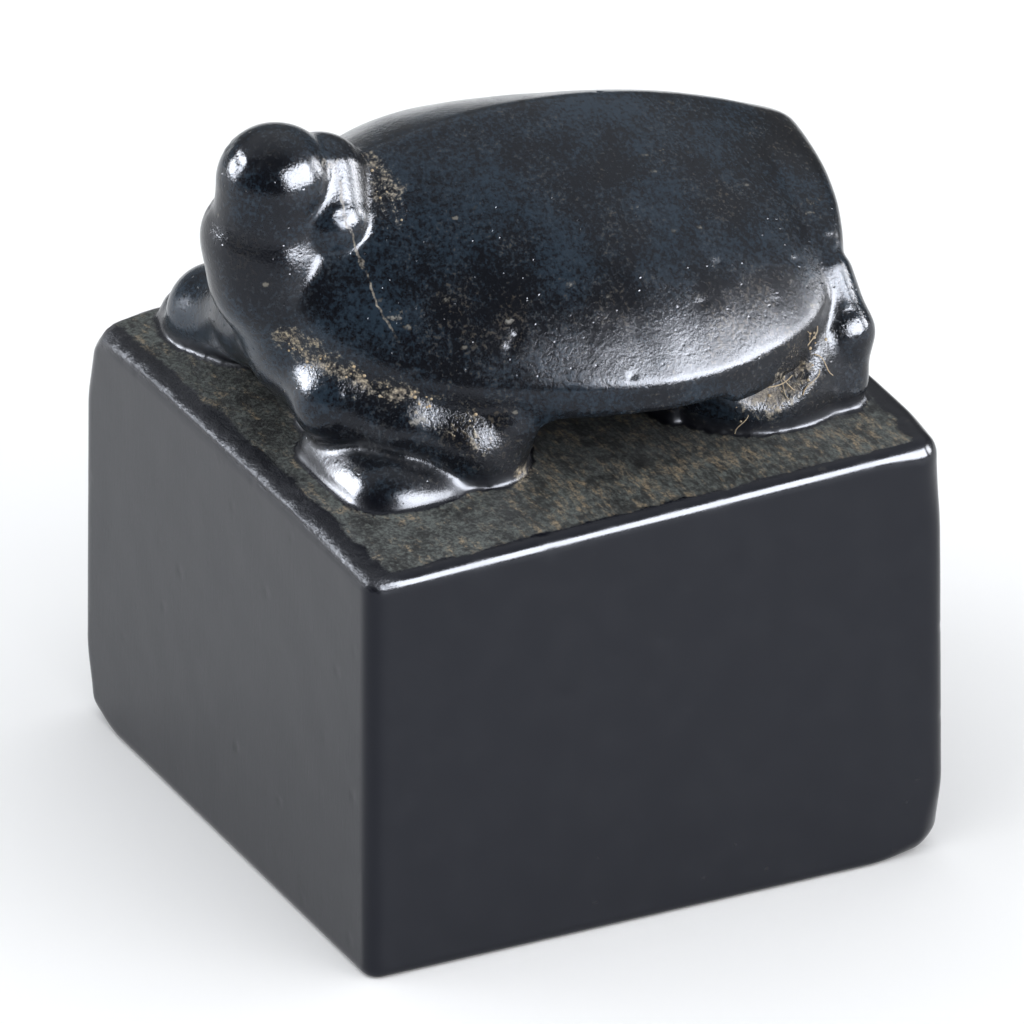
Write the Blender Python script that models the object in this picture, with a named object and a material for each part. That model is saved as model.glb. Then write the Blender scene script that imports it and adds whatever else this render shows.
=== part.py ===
"""A seal cut from one piece of near-black stone: a square block with a turtle crouching on it.

The seal stands on its underside, whose centre is the origin. The turtle looks along -Y and its left
flank faces +X. A tunnel for a cord runs crosswise under its belly. The form is described as a
distance: a chain of Math nodes works out, for any point, how far it lies from the stone's surface,
and the surface is drawn where that distance is nought.
"""
import bpy

MM = 0.001
NODE = "turtle_seal"

# Block. Its sides draw in a little as they rise, and its top rises to the rear and towards the middle.
BLOCK_WIDTH = 23.3 * MM
BLOCK_DEPTH = 22.3 * MM
BLOCK_FRONT_HEIGHT = 15.0 * MM
BLOCK_REAR_HEIGHT = 15.75 * MM
BLOCK_DRAW_IN = 0.16 * MM
BLOCK_CROWN = 0.3 * MM
CORNER_RADIUS = 0.65 * MM
CORNER_WEAR = 0.9 * MM
CORNER_WEAR_REACH = 3.0 * MM
LEFT_WEAR_SHARE = 0.4
WEAR_BAND = 1.0 * MM
TOP_EDGE_RADIUS = 0.45 * MM
FOOT_EDGE_RADIUS = 0.3 * MM

# Turtle: as long as the block less a set-back at each end. Its pose and proportions are in T, which is
# a 22.1th of its length, and its heights are above the block's front top edge.
TURTLE_SET_BACK = 0.1 * MM
TURTLE_LENGTH = BLOCK_DEPTH - 2 * TURTLE_SET_BACK
T = TURTLE_LENGTH / 22.1

# Shell: its outline from above, the rim that runs round it and the keel along its back.
SHELL_Y = 2.3 * T
SHELL_HALF_WIDTH = 9.4 * T
SHELL_REAR_LENGTH = 8.75 * T
SHELL_FRONT_LENGTH = 12.7 * T
SHELL_TURN = 1.5 * T
SHELL_REAR_POWER = 2.5
SHELL_FRONT_POWER = 1.6
SHELL_REAR_FULL_TO = 0.74
SHELL_END_RADIUS = 1.0 * T
SHELL_SIDE_RADIUS = 0.22 * T
SHELL_END_FROM = 6.5 * T
RIM_HEIGHT = 3.85 * T
RIM_REAR_RISE = 1.4 * T
RIM_FRONT_RISE = 2.9 * T
RIM_FRONT_RISE_FROM = 3.5 * T
RIM_BAND = 1.3 * T
RIM_UNDERCUT = 0.35
RIM_RADIUS = 0.22 * T
KEEL_Y = -0.2 * T
KEEL_HEIGHT = 10.95 * T
KEEL_FALL = 0.022 / T
KEEL_SOFTNESS = 0.2 * T
LEFT_LEAN = 0.50
RIGHT_LEAN_FRONT = 0.18
RIGHT_LEAN_REAR = 0.50
FLANK_CURVE = 0.40
FLANK_END_POWER = 7.0

# How softly forms run into each other
CREASE = 0.25 * T
HOLLOW = 0.5 * T
FILLET = 1.0 * T
TUNNEL_EDGE = 0.4 * T
GROUND_FILLET = 0.35 * T

# Head and neck, as balls (x, y, z, radius)
HEAD = (0.0 * T, -8.95 * T, 9.85 * T, 2.07 * T)
NAPE = (0.0 * T, -8.2 * T, 6.5 * T, 2.4 * T)
JAW = (0.0 * T, -9.1 * T, 8.5 * T, 1.95 * T)
THROAT = (-0.3 * T, -9.1 * T, 7.8 * T)
THROAT_HALF = (2.4 * T, 2.3 * T, 1.9 * T)
CHEST_TOP = (0.0 * T, -8.8 * T, 6.4 * T, 2.5 * T)
CHEST_FOOT = (0.0 * T, -5.6 * T, 1.6 * T, 2.6 * T)
COLLAR = (
    (0.0 * T, -7.3 * T, 9.5 * T, 1.75 * T),
    (1.2 * T, -7.4 * T, 8.5 * T, 1.4 * T),
)
# Front legs, from the shoulder round the elbow to the block, as balls (x, y, z, radius), and the feet.
# The right leg is spread wider than the left.
LEFT_ARM = (
    (0.6 * T, -7.5 * T, 3.6 * T, 2.1 * T),
    (2.9 * T, -7.9 * T, 2.8 * T, 1.6 * T),
    (4.7 * T, -6.2 * T, 2.3 * T, 1.5 * T),
    (5.9 * T, -4.4 * T, 1.7 * T, 1.5 * T),
    (5.4 * T, -3.6 * T, 0.4 * T, 1.6 * T),
)
LEFT_WEB = (
    (6.0 * T, -4.0 * T, 1.0 * T, 1.5 * T),
    (6.4 * T, -3.3 * T, 2.5 * T, 1.2 * T),
    (6.9 * T, -1.2 * T, 2.95 * T, 0.9 * T),
)
LEFT_FOOT = (4.4 * T, -6.4 * T)
LEFT_TOES = (
    (2.4 * T, -7.6 * T, 0.2 * T, 1.6 * T),
    (5.9 * T, -7.6 * T, 0.0 * T, 1.6 * T),
)
RIGHT_ARM = (
    (-0.6 * T, -7.5 * T, 3.6 * T, 2.1 * T),
    (-4.2 * T, -7.4 * T, 2.5 * T, 1.6 * T),
    (-7.9 * T, -7.5 * T, 1.2 * T, 1.6 * T),
    (-7.5 * T, -6.2 * T, 0.5 * T, 1.8 * T),
)
RIGHT_WEB = (
    (-6.6 * T, -4.6 * T, 1.0 * T, 1.5 * T),
    (-6.5 * T, -3.2 * T, 2.8 * T, 1.3 * T),
)
RIGHT_FOOT = (-7.6 * T, -6.2 * T)
RIGHT_TOES = (
    (-9.7 * T, -7.5 * T, 0.1 * T, 1.3 * T),
    (-8.6 * T, -7.7 * T, 0.1 * T, 1.4 * T),
)
FRONT_FOOT_HALF = (3.3 * T, 2.7 * T, 1.6 * T)
FRONT_FOOT_LIFT = 0.1 * T
SHOULDER_FILLET = 1.3 * T

# Hind leg: thigh with a dish hollowed in its outer side, the heel ridge behind it and the foot
THIGH = (5.4 * T, 6.7 * T, 2.0 * T)
THIGH_HALF = (3.3 * T, 3.5 * T, 3.4 * T)
DISH = (9.6 * T, 5.2 * T, 4.2 * T)
DISH_HALF = (2.3 * T, 2.9 * T, 2.7 * T)
HEEL = (
    (5.9 * T, 9.1 * T, 5.0 * T, 1.0 * T),
    (7.1 * T, 9.2 * T, 3.4 * T, 1.05 * T),
    (7.3 * T, 8.9 * T, 1.7 * T, 1.0 * T),
    (6.9 * T, 8.2 * T, 0.9 * T, 0.9 * T),
    (6.9 * T, 6.8 * T, 0.7 * T, 0.85 * T),
    (6.5 * T, 5.4 * T, 0.5 * T, 0.8 * T),
)
HIND_FOOT = (5.2 * T, 6.9 * T)
HIND_FOOT_HALF = (2.6 * T, 3.2 * T, 1.2 * T)
HIND_FOOT_LIFT = 0.1 * T

# Belly, the breast in front of it, and the tunnel for a cord, which opens out towards its mouths
BELLY_Y = 1.6 * T
BELLY_HALF_WIDTH = 6.4 * T
BELLY_HALF_LENGTH = 8.2 * T
BREAST = (0.0 * T, -3.9 * T, 1.5 * T)
BREAST_HALF = (6.2 * T, 3.9 * T, 3.7 * T)
TUNNEL_Y = 0.4 * T
TUNNEL_HALF_WIDTH = 1.7 * T
TUNNEL_MOUTH_FLARE = 1.0 * T
TUNNEL_HEIGHT = 2.3 * T
TUNNEL_RADIUS = 0.9 * T

# Surface
VOXEL = 0.22 * MM
MARGIN = 1.0 * MM
KEPT_SHARE = 0.065
STONE_COLOUR = (0.012, 0.015, 0.018, 1.0)
STONE_ROUGHNESS = 0.32


class Field:
    """A value at every point of space: one output of a node, with sums that add more nodes."""

    def __init__(self, tree, socket):
        self.tree = tree
        self.socket = socket

    def math(self, operation, *others):
        node = self.tree.nodes.new("ShaderNodeMath")
        node.operation = operation
        for slot, value in zip(node.inputs, (self,) + others):
            if isinstance(value, Field):
                self.tree.links.new(value.socket, slot)
            else:
                slot.default_value = value
        return Field(self.tree, node.outputs[0])

    def __add__(self, other):
        return self.math("ADD", other)

    def __sub__(self, other):
        return self.math("SUBTRACT", other)

    def __mul__(self, other):
        return self.math("MULTIPLY", other)

    def __truediv__(self, other):
        return self.math("DIVIDE", other)

    def __pow__(self, other):
        return self.math("POWER", other)

    def __neg__(self):
        return self.math("MULTIPLY", -1.0)

    def __abs__(self):
        return self.math("ABSOLUTE")


def larger(a, b):
    return a.math("MAXIMUM", b)


def smaller(a, b):
    return a.math("MINIMUM", b)


def blend(a, b, reach):
    """Two forms joined, with a fillet in the corner between them."""
    return a.math("SMOOTH_MIN", b, reach)


def trim(a, b, reach):
    """What two forms have in common, with the edge between them rounded."""
    return a.math("SMOOTH_MAX", b, reach)


def length(*parts):
    total = parts[0] * parts[0]
    for part in parts[1:]:
        total = part.math("MULTIPLY_ADD", part, total)
    return total.math("SQRT")


def step(value, start, end):
    """0 below start, 1 above end, with a smooth rise between them."""
    t = smaller(larger((value - start) / (end - start), 0.0), 1.0)
    return t * t * (t * -2.0 + 3.0)


def ellipsoid(x, y, z, centre, half):
    """Distance to an ellipsoid, true at its surface."""
    q = [axis - c for axis, c in zip((x, y, z), centre)]
    size = length(*[part / h for part, h in zip(q, half)])
    slope = length(*[part / (h * h) for part, h in zip(q, half)])
    return size * (size - 1.0) / larger(slope, 1.0)


def limb(x, y, z, balls, reach):
    """Distance to a limb run through a row of balls, each given as x, y, z and radius."""
    whole = None
    for start, end in zip(balls, balls[1:]):
        run = [b - a for a, b in zip(start[:3], end[:3])]
        square = sum(part * part for part in run)
        q = [axis - a for axis, a in zip((x, y, z), start)]
        share = (q[0] * run[0] + q[1] * run[1] + q[2] * run[2]) / square
        share = smaller(larger(share, 0.0), 1.0)
        off = length(*[part - share * r for part, r in zip(q, run)])
        piece = off - (share * (end[3] - start[3]) + start[3])
        whole = piece if whole is None else blend(whole, piece, reach)
    return whole


def rounded(side, top, radius):
    """A wall and a lid brought together over an edge of one radius."""
    side, top = side + radius, top + radius
    outside = length(larger(side, 0.0), larger(top, 0.0))
    return outside + smaller(larger(side, top), 0.0) - radius


def ground(x, y):
    """How far the block's top lies above its front edge."""
    rise = (BLOCK_REAR_HEIGHT - BLOCK_FRONT_HEIGHT) / BLOCK_DEPTH
    crown = (-((abs(x) / (BLOCK_WIDTH / 2)) ** 4.0) + 1.0) * BLOCK_CROWN
    return (y + BLOCK_DEPTH / 2) * rise + crown


def block(x, y, z):
    shrink = z * (BLOCK_DRAW_IN / BLOCK_FRONT_HEIGHT)
    beside = step(abs(x), BLOCK_WIDTH / 2 - CORNER_WEAR_REACH, BLOCK_WIDTH / 2)
    corner = step(abs(y), BLOCK_DEPTH / 2 - CORNER_WEAR_REACH, BLOCK_DEPTH / 2) * beside
    kept = step(x, -WEAR_BAND, WEAR_BAND) * step(-y, -WEAR_BAND, WEAR_BAND)
    right = step(-x, -WEAR_BAND, WEAR_BAND) * (1.0 - LEFT_WEAR_SHARE) + LEFT_WEAR_SHARE
    low = corner * (-kept + 1.0) * (-step(z, 0.0, CORNER_WEAR_REACH) + 1.0) * CORNER_WEAR
    high = step(z, BLOCK_FRONT_HEIGHT - CORNER_WEAR_REACH, BLOCK_FRONT_HEIGHT)
    high = corner * right * (-kept + 1.0) * high * CORNER_WEAR
    radius = low + high + CORNER_RADIUS
    across = abs(x) - BLOCK_WIDTH / 2 + shrink + radius
    along = abs(y) - BLOCK_DEPTH / 2 + shrink + radius
    side = length(larger(across, 0.0), larger(along, 0.0)) + smaller(larger(across, along), 0.0) - radius
    upper = rounded(side, z - BLOCK_FRONT_HEIGHT - ground(x, y), high + TOP_EDGE_RADIUS)
    lower = rounded(side, -z, low + FOOT_EDGE_RADIUS)
    return larger(upper, lower)


def shell_shares(x, y):
    """How far a point lies across and along the shell, as shares of its outline, and the outline's power."""
    rear = step(y, SHELL_Y - SHELL_TURN, SHELL_Y + SHELL_TURN)
    power = rear * (SHELL_REAR_POWER - SHELL_FRONT_POWER) + SHELL_FRONT_POWER
    along = larger((y - SHELL_Y) / SHELL_REAR_LENGTH, -(y - SHELL_Y) / SHELL_FRONT_LENGTH)
    return abs(x) / SHELL_HALF_WIDTH, along, power


def shell_plan(x, y):
    """Distance, seen from above, from the shell's outline."""
    across, along, power = shell_shares(x, y)
    size = (across ** power + along ** power) ** power.math("POWER", -1.0)
    less = power - 1.0
    slope = length(across ** less / SHELL_HALF_WIDTH, along ** less / SHELL_REAR_LENGTH)
    slope = larger(slope / larger(size ** less, 0.05), 0.02 / T)
    return (size - 1.0) / slope


def rim_height(y):
    rear = step(y, SHELL_Y, SHELL_Y + SHELL_REAR_LENGTH * 1.2) * RIM_REAR_RISE
    share = (-y - RIM_FRONT_RISE_FROM) / (SHELL_FRONT_LENGTH - SHELL_Y - RIM_FRONT_RISE_FROM)
    front = smaller(larger(share, 0.0), 1.0) ** 3 * RIM_FRONT_RISE
    return rear + front + RIM_HEIGHT


def shell(x, y, z):
    plan = shell_plan(x, y)
    rise = z - rim_height(y)
    along, power = shell_shares(x, y)[1:]
    rear = step(y, -SHELL_Y * 2, SHELL_Y * 2)
    along = smaller(along, rear * (SHELL_REAR_FULL_TO - 0.97) + 0.97)
    reach = (-(along ** power) + 1.0) ** power.math("POWER", -1.0) * SHELL_HALF_WIDTH
    beside = (x * x + KEEL_SOFTNESS ** 2).math("SQRT") - KEEL_SOFTNESS
    share = smaller(beside / reach, 1.15)
    from_top = y - KEEL_Y
    crown = -(from_top * from_top * KEEL_FALL) + KEEL_HEIGHT - rim_height(y)
    right = rear * (RIGHT_LEAN_REAR - RIGHT_LEAN_FRONT) + RIGHT_LEAN_FRONT
    lean = step(-x, -KEEL_SOFTNESS, KEEL_SOFTNESS) * (right - LEFT_LEAN) + LEFT_LEAN
    fall = share * (share * FLANK_CURVE + lean)
    fall = fall + share ** FLANK_END_POWER * (-lean + 1.0 - FLANK_CURVE)
    slope = share ** (FLANK_END_POWER - 1.0) * 1.5 + 1.1
    end = step(y, SHELL_END_FROM, SHELL_Y + SHELL_REAR_LENGTH) * (SHELL_END_RADIUS - SHELL_SIDE_RADIUS)
    roof = trim((rise - crown * (-fall + 1.0)) / slope, plan, end + SHELL_SIDE_RADIUS)
    under = (plan - rise * RIM_UNDERCUT) / (1.0 + RIM_UNDERCUT ** 2) ** 0.5
    edge = trim(roof, under, RIM_RADIUS)
    return trim(edge, -rise - RIM_BAND, RIM_RADIUS)





def head_and_neck(x, y, z):
    neck = limb(x, y, z, (HEAD, JAW, NAPE), HOLLOW)
    throat = ellipsoid(x, y, z, THROAT, THROAT_HALF)
    chest = limb(x, y, z, (CHEST_TOP, CHEST_FOOT), HOLLOW)
    body = blend(neck, blend(throat, chest, FILLET), CREASE)
    return blend(body, limb(abs(x), y, z, COLLAR, HOLLOW), CREASE)


def front_leg(x, y, z, arm, web, foot, toes):
    pad = ellipsoid(x, y, z, foot + (FRONT_FOOT_LIFT,), FRONT_FOOT_HALF)
    paw = blend(pad, limb(x, y, z, toes, HOLLOW), FILLET)
    upper = blend(limb(x, y, z, arm, FILLET), limb(x, y, z, web, HOLLOW), HOLLOW)
    return blend(upper, paw, HOLLOW)


def hind_leg(side, y, z):
    level = (BLOCK_REAR_HEIGHT - BLOCK_FRONT_HEIGHT + HIND_FOOT_LIFT,)
    dished = trim(ellipsoid(side, y, z, THIGH, THIGH_HALF), -ellipsoid(side, y, z, DISH, DISH_HALF), HOLLOW)
    foot = ellipsoid(side, y, z, HIND_FOOT + level, HIND_FOOT_HALF)
    return blend(blend(dished, limb(side, y, z, HEEL, HOLLOW), HOLLOW), foot, FILLET)


def belly(x, y, z):
    plan = ellipsoid(x, y, z * 0.0, (0.0, BELLY_Y, 0.0), (BELLY_HALF_WIDTH, BELLY_HALF_LENGTH, T))
    body = larger(larger(plan, z - rim_height(y) - RIM_BAND), -z - BLOCK_FRONT_HEIGHT / 2)
    return blend(body, ellipsoid(x, y, z, BREAST, BREAST_HALF), HOLLOW)


def tunnel(x, y, z):
    half = abs(x) / BELLY_HALF_WIDTH
    half = half * half * TUNNEL_MOUTH_FLARE + TUNNEL_HALF_WIDTH
    across = abs(y - TUNNEL_Y) - half
    up = abs(z - ground(x, y)) - TUNNEL_HEIGHT
    return rounded(across, up, TUNNEL_RADIUS)


def turtle(x, y, z):
    front = head_and_neck(x, y, z)
    front = blend(front, front_leg(x, y, z, LEFT_ARM, LEFT_WEB, LEFT_FOOT, LEFT_TOES), SHOULDER_FILLET)
    front = blend(front, front_leg(x, y, z, RIGHT_ARM, RIGHT_WEB, RIGHT_FOOT, RIGHT_TOES), SHOULDER_FILLET)
    body = blend(shell(x, y, z), front, CREASE)
    body = blend(body, hind_leg(abs(x), y, z), CREASE)
    body = blend(body, belly(x, y, z), CREASE)
    return trim(body, -tunnel(x, y, z), TUNNEL_EDGE)


def seal(x, y, z):
    """Distance from the whole stone's surface: negative inside, positive outside."""
    return blend(block(x, y, z), turtle(x, y, z - BLOCK_FRONT_HEIGHT), GROUND_FILLET)


def distance_group():
    """Node group: point in, distance from the seal's surface out."""
    tree = bpy.data.node_groups.new("seal distance", "GeometryNodeTree")
    tree.interface.new_socket(name="Point", in_out="INPUT", socket_type="NodeSocketVector")
    tree.interface.new_socket(name="Distance", in_out="OUTPUT", socket_type="NodeSocketFloat")
    entry = tree.nodes.new("NodeGroupInput")
    split = tree.nodes.new("ShaderNodeSeparateXYZ")
    tree.links.new(entry.outputs["Point"], split.inputs[0])
    x, y, z = (Field(tree, split.outputs[axis]) for axis in "XYZ")
    leave = tree.nodes.new("NodeGroupOutput")
    tree.links.new(seal(x, y, z).socket, leave.inputs["Distance"])
    return tree


def surface_group(stone):
    """Node group: fills a box of space with the distance and draws the surface at nought."""
    tree = bpy.data.node_groups.new("seal surface", "GeometryNodeTree")
    tree.interface.new_socket(name="Geometry", in_out="OUTPUT", socket_type="NodeSocketGeometry")
    position = tree.nodes.new("GeometryNodeInputPosition")
    group = tree.nodes.new("GeometryNodeGroup")
    group.node_tree = distance_group()
    tree.links.new(position.outputs[0], group.inputs["Point"])
    space = tree.nodes.new("GeometryNodeVolumeCube")
    top = BLOCK_FRONT_HEIGHT + max(HEAD[2] + HEAD[3], KEEL_HEIGHT)
    low = (-BLOCK_WIDTH / 2 - MARGIN, -BLOCK_DEPTH / 2 - MARGIN, -MARGIN)
    high = (BLOCK_WIDTH / 2 + MARGIN, BLOCK_DEPTH / 2 + MARGIN, top + MARGIN)
    space.inputs["Min"].default_value = low
    space.inputs["Max"].default_value = high
    space.inputs["Background"].default_value = MARGIN
    for axis, a, b in zip("XYZ", low, high):
        space.inputs["Resolution " + axis].default_value = round((b - a) / VOXEL)
    tree.links.new(group.outputs["Distance"], space.inputs["Density"])
    skin = tree.nodes.new("GeometryNodeVolumeToMesh")
    skin.inputs["Threshold"].default_value = 0.0
    tree.links.new(space.outputs[0], skin.inputs["Volume"])
    flip = tree.nodes.new("GeometryNodeFlipFaces")
    tree.links.new(skin.outputs["Mesh"], flip.inputs[0])
    paint = tree.nodes.new("GeometryNodeSetMaterial")
    paint.inputs["Material"].default_value = stone
    tree.links.new(flip.outputs[0], paint.inputs["Geometry"])
    leave = tree.nodes.new("NodeGroupOutput")
    tree.links.new(paint.outputs[0], leave.inputs[0])
    return tree


def stone_material():
    stone = bpy.data.materials.new("near_black_stone")
    stone.use_nodes = True
    surface = stone.node_tree.nodes["Principled BSDF"]
    surface.inputs["Base Color"].default_value = STONE_COLOUR
    surface.inputs["Roughness"].default_value = STONE_ROUGHNESS
    surface.inputs["Metallic"].default_value = 0.0
    return stone


for old in list(bpy.data.objects):
    bpy.data.objects.remove(old)

seal_object = bpy.data.objects.new(NODE, bpy.data.meshes.new(NODE))
bpy.context.collection.objects.link(seal_object)
stone = stone_material()
seal_object.data.materials.append(stone)
carving = seal_object.modifiers.new("Carving", "NODES")
carving.node_group = surface_group(stone)
fewer = seal_object.modifiers.new("Fewer faces", "DECIMATE")
fewer.ratio = KEPT_SHARE
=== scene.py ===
import math

import bpy
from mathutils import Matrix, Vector


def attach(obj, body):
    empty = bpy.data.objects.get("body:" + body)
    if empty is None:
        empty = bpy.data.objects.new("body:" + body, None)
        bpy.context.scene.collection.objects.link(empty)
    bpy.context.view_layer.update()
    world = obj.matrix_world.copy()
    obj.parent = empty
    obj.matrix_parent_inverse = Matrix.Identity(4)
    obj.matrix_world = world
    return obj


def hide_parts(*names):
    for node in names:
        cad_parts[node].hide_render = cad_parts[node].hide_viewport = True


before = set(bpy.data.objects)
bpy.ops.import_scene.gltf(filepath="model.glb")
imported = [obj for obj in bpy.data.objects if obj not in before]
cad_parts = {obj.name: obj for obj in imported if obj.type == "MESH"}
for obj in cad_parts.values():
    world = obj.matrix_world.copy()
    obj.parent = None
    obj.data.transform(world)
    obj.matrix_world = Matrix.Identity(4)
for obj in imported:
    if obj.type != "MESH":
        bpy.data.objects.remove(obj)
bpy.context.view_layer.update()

# The seal: one piece of near-black stone, a square block with a crouching turtle left standing on it.
# It was sawn, carved and rubbed smooth, then worn by handling and burial. Its form is a distance worked
# out by Math nodes, and the surface is drawn where that distance is nought.
MM = 0.001

# Block. Its sides draw in a little as they rise, and its top rises to the rear and towards the middle.
BLOCK_WIDTH = 23.3 * MM
BLOCK_DEPTH = 22.3 * MM
BLOCK_FRONT_HEIGHT = 15.0 * MM
BLOCK_REAR_HEIGHT = 15.75 * MM
BLOCK_DRAW_IN = 0.16 * MM
BLOCK_CROWN = 0.3 * MM
CORNER_RADIUS = 0.65 * MM
CORNER_WEAR = 0.9 * MM
CORNER_WEAR_REACH = 3.0 * MM
LEFT_WEAR_SHARE = 0.4
WEAR_BAND = 1.0 * MM
TOP_EDGE_RADIUS = 0.45 * MM
FOOT_EDGE_RADIUS = 0.3 * MM

# Turtle: as long as the block less a set-back at each end. Its pose and proportions are in T, which is
# a 22.1th of its length, and its heights are above the block's front top edge.
TURTLE_SET_BACK = 0.1 * MM
TURTLE_LENGTH = BLOCK_DEPTH - 2 * TURTLE_SET_BACK
T = TURTLE_LENGTH / 22.1

# Shell: its outline from above, the rim that runs round it and the keel along its back.
SHELL_Y = 2.3 * T
SHELL_HALF_WIDTH = 9.4 * T
SHELL_REAR_LENGTH = 8.75 * T
SHELL_FRONT_LENGTH = 12.7 * T
SHELL_TURN = 1.5 * T
SHELL_REAR_POWER = 2.5
SHELL_FRONT_POWER = 1.6
SHELL_REAR_FULL_TO = 0.74
SHELL_END_RADIUS = 1.0 * T
SHELL_SIDE_RADIUS = 0.22 * T
SHELL_END_FROM = 6.5 * T
RIM_HEIGHT = 3.70 * T
RIM_REAR_RISE = 1.4 * T
RIM_FRONT_RISE = 2.9 * T
RIM_FRONT_RISE_FROM = 3.5 * T
RIM_BAND = 1.2 * T
RIM_UNDERCUT = 0.15
RIM_RADIUS = 0.22 * T
KEEL_Y = -0.2 * T
KEEL_HEIGHT = 10.95 * T
KEEL_FALL = 0.022 / T
KEEL_SOFTNESS = 0.2 * T
LEFT_LEAN = 0.50
RIGHT_LEAN_FRONT = 0.18
RIGHT_LEAN_REAR = 0.50
FLANK_CURVE = 0.40
FLANK_END_POWER = 7.0

# How softly forms run into each other
CREASE = 0.25 * T
HOLLOW = 0.5 * T
FILLET = 1.0 * T
TUNNEL_EDGE = 0.4 * T
GROUND_FILLET = 0.35 * T

# Head and neck, as balls (x, y, z, radius)
HEAD = (0.0 * T, -8.95 * T, 9.85 * T, 2.07 * T)
NAPE = (0.0 * T, -8.2 * T, 6.5 * T, 2.4 * T)
JAW = (0.0 * T, -9.1 * T, 8.5 * T, 1.95 * T)
THROAT = (-0.3 * T, -9.1 * T, 7.8 * T)
THROAT_HALF = (2.4 * T, 2.3 * T, 1.9 * T)
CHEST_TOP = (0.0 * T, -8.8 * T, 6.4 * T, 2.5 * T)
CHEST_FOOT = (0.0 * T, -5.6 * T, 1.6 * T, 2.6 * T)
COLLAR = (
    (0.0 * T, -7.3 * T, 9.5 * T, 1.75 * T),
    (1.2 * T, -7.4 * T, 8.5 * T, 1.4 * T),
)
# Front legs, from the shoulder round the elbow to the block, as balls (x, y, z, radius), and the feet.
# The right leg is spread wider than the left.
LEFT_ARM = (
    (0.6 * T, -7.5 * T, 3.6 * T, 2.1 * T),
    (2.9 * T, -7.9 * T, 2.8 * T, 1.6 * T),
    (4.7 * T, -6.2 * T, 2.3 * T, 1.5 * T),
    (5.9 * T, -4.4 * T, 1.7 * T, 1.5 * T),
    (5.4 * T, -3.6 * T, 0.4 * T, 1.6 * T),
)
LEFT_WEB = (
    (6.0 * T, -4.0 * T, 1.0 * T, 1.5 * T),
    (6.4 * T, -3.3 * T, 2.5 * T, 1.2 * T),
    (6.9 * T, -1.2 * T, 2.95 * T, 0.9 * T),
)
LEFT_FOOT = (4.4 * T, -6.4 * T)
LEFT_TOES = (
    (2.4 * T, -7.6 * T, 0.2 * T, 1.6 * T),
    (5.9 * T, -7.6 * T, 0.0 * T, 1.6 * T),
)
RIGHT_ARM = (
    (-0.6 * T, -7.5 * T, 3.6 * T, 2.1 * T),
    (-4.2 * T, -7.4 * T, 2.5 * T, 1.6 * T),
    (-7.9 * T, -7.5 * T, 1.2 * T, 1.6 * T),
    (-7.5 * T, -6.2 * T, 0.5 * T, 1.8 * T),
)
RIGHT_WEB = (
    (-6.6 * T, -4.6 * T, 1.0 * T, 1.5 * T),
    (-6.5 * T, -3.2 * T, 2.8 * T, 1.3 * T),
)
RIGHT_FOOT = (-7.6 * T, -6.2 * T)
RIGHT_TOES = (
    (-9.7 * T, -7.5 * T, 0.1 * T, 1.3 * T),
    (-8.6 * T, -7.7 * T, 0.1 * T, 1.4 * T),
)
FRONT_FOOT_HALF = (3.3 * T, 2.7 * T, 1.6 * T)
FRONT_FOOT_LIFT = 0.1 * T
SHOULDER_FILLET = 1.3 * T

# Hind leg: thigh with a dish hollowed in its outer side, the heel ridge behind it and the foot
THIGH = (5.4 * T, 6.7 * T, 2.0 * T)
THIGH_HALF = (3.3 * T, 3.5 * T, 3.4 * T)
DISH = (9.6 * T, 5.2 * T, 4.2 * T)
DISH_HALF = (2.3 * T, 2.9 * T, 2.7 * T)
HEEL = (
    (5.9 * T, 9.1 * T, 5.0 * T, 1.0 * T),
    (7.1 * T, 9.2 * T, 3.4 * T, 1.05 * T),
    (7.3 * T, 8.9 * T, 1.7 * T, 1.0 * T),
    (6.9 * T, 8.2 * T, 0.9 * T, 0.9 * T),
    (6.9 * T, 6.8 * T, 0.7 * T, 0.85 * T),
    (6.5 * T, 5.4 * T, 0.5 * T, 0.8 * T),
)
HIND_FOOT = (5.2 * T, 6.9 * T)
HIND_FOOT_HALF = (2.6 * T, 3.2 * T, 1.2 * T)
HIND_FOOT_LIFT = 0.1 * T

# Belly, the breast in front of it, and the tunnel for a cord, which opens out towards its mouths
BELLY_Y = 1.6 * T
BELLY_HALF_WIDTH = 6.4 * T
BELLY_HALF_LENGTH = 8.2 * T
BREAST = (0.0 * T, -3.9 * T, 1.5 * T)
BREAST_HALF = (6.2 * T, 3.9 * T, 3.7 * T)
TUNNEL_Y = 0.4 * T
TUNNEL_HALF_WIDTH = 1.7 * T
TUNNEL_MOUTH_FLARE = 1.0 * T
TUNNEL_HEIGHT = 2.3 * T
TUNNEL_RADIUS = 0.9 * T


class Field:
    """A value at every point of space: one output of a node, with sums that add more nodes."""

    def __init__(self, tree, socket):
        self.tree = tree
        self.socket = socket

    def math(self, operation, *others):
        node = self.tree.nodes.new("ShaderNodeMath")
        node.operation = operation
        for slot, value in zip(node.inputs, (self,) + others):
            if isinstance(value, Field):
                self.tree.links.new(value.socket, slot)
            else:
                slot.default_value = value
        return Field(self.tree, node.outputs[0])

    def __add__(self, other):
        return self.math("ADD", other)

    def __sub__(self, other):
        return self.math("SUBTRACT", other)

    def __mul__(self, other):
        return self.math("MULTIPLY", other)

    def __truediv__(self, other):
        return self.math("DIVIDE", other)

    def __pow__(self, other):
        return self.math("POWER", other)

    def __neg__(self):
        return self.math("MULTIPLY", -1.0)

    def __abs__(self):
        return self.math("ABSOLUTE")


def larger(a, b):
    return a.math("MAXIMUM", b)


def smaller(a, b):
    return a.math("MINIMUM", b)


def blend(a, b, reach):
    """Two forms joined, with a fillet in the corner between them."""
    return a.math("SMOOTH_MIN", b, reach)


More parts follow.
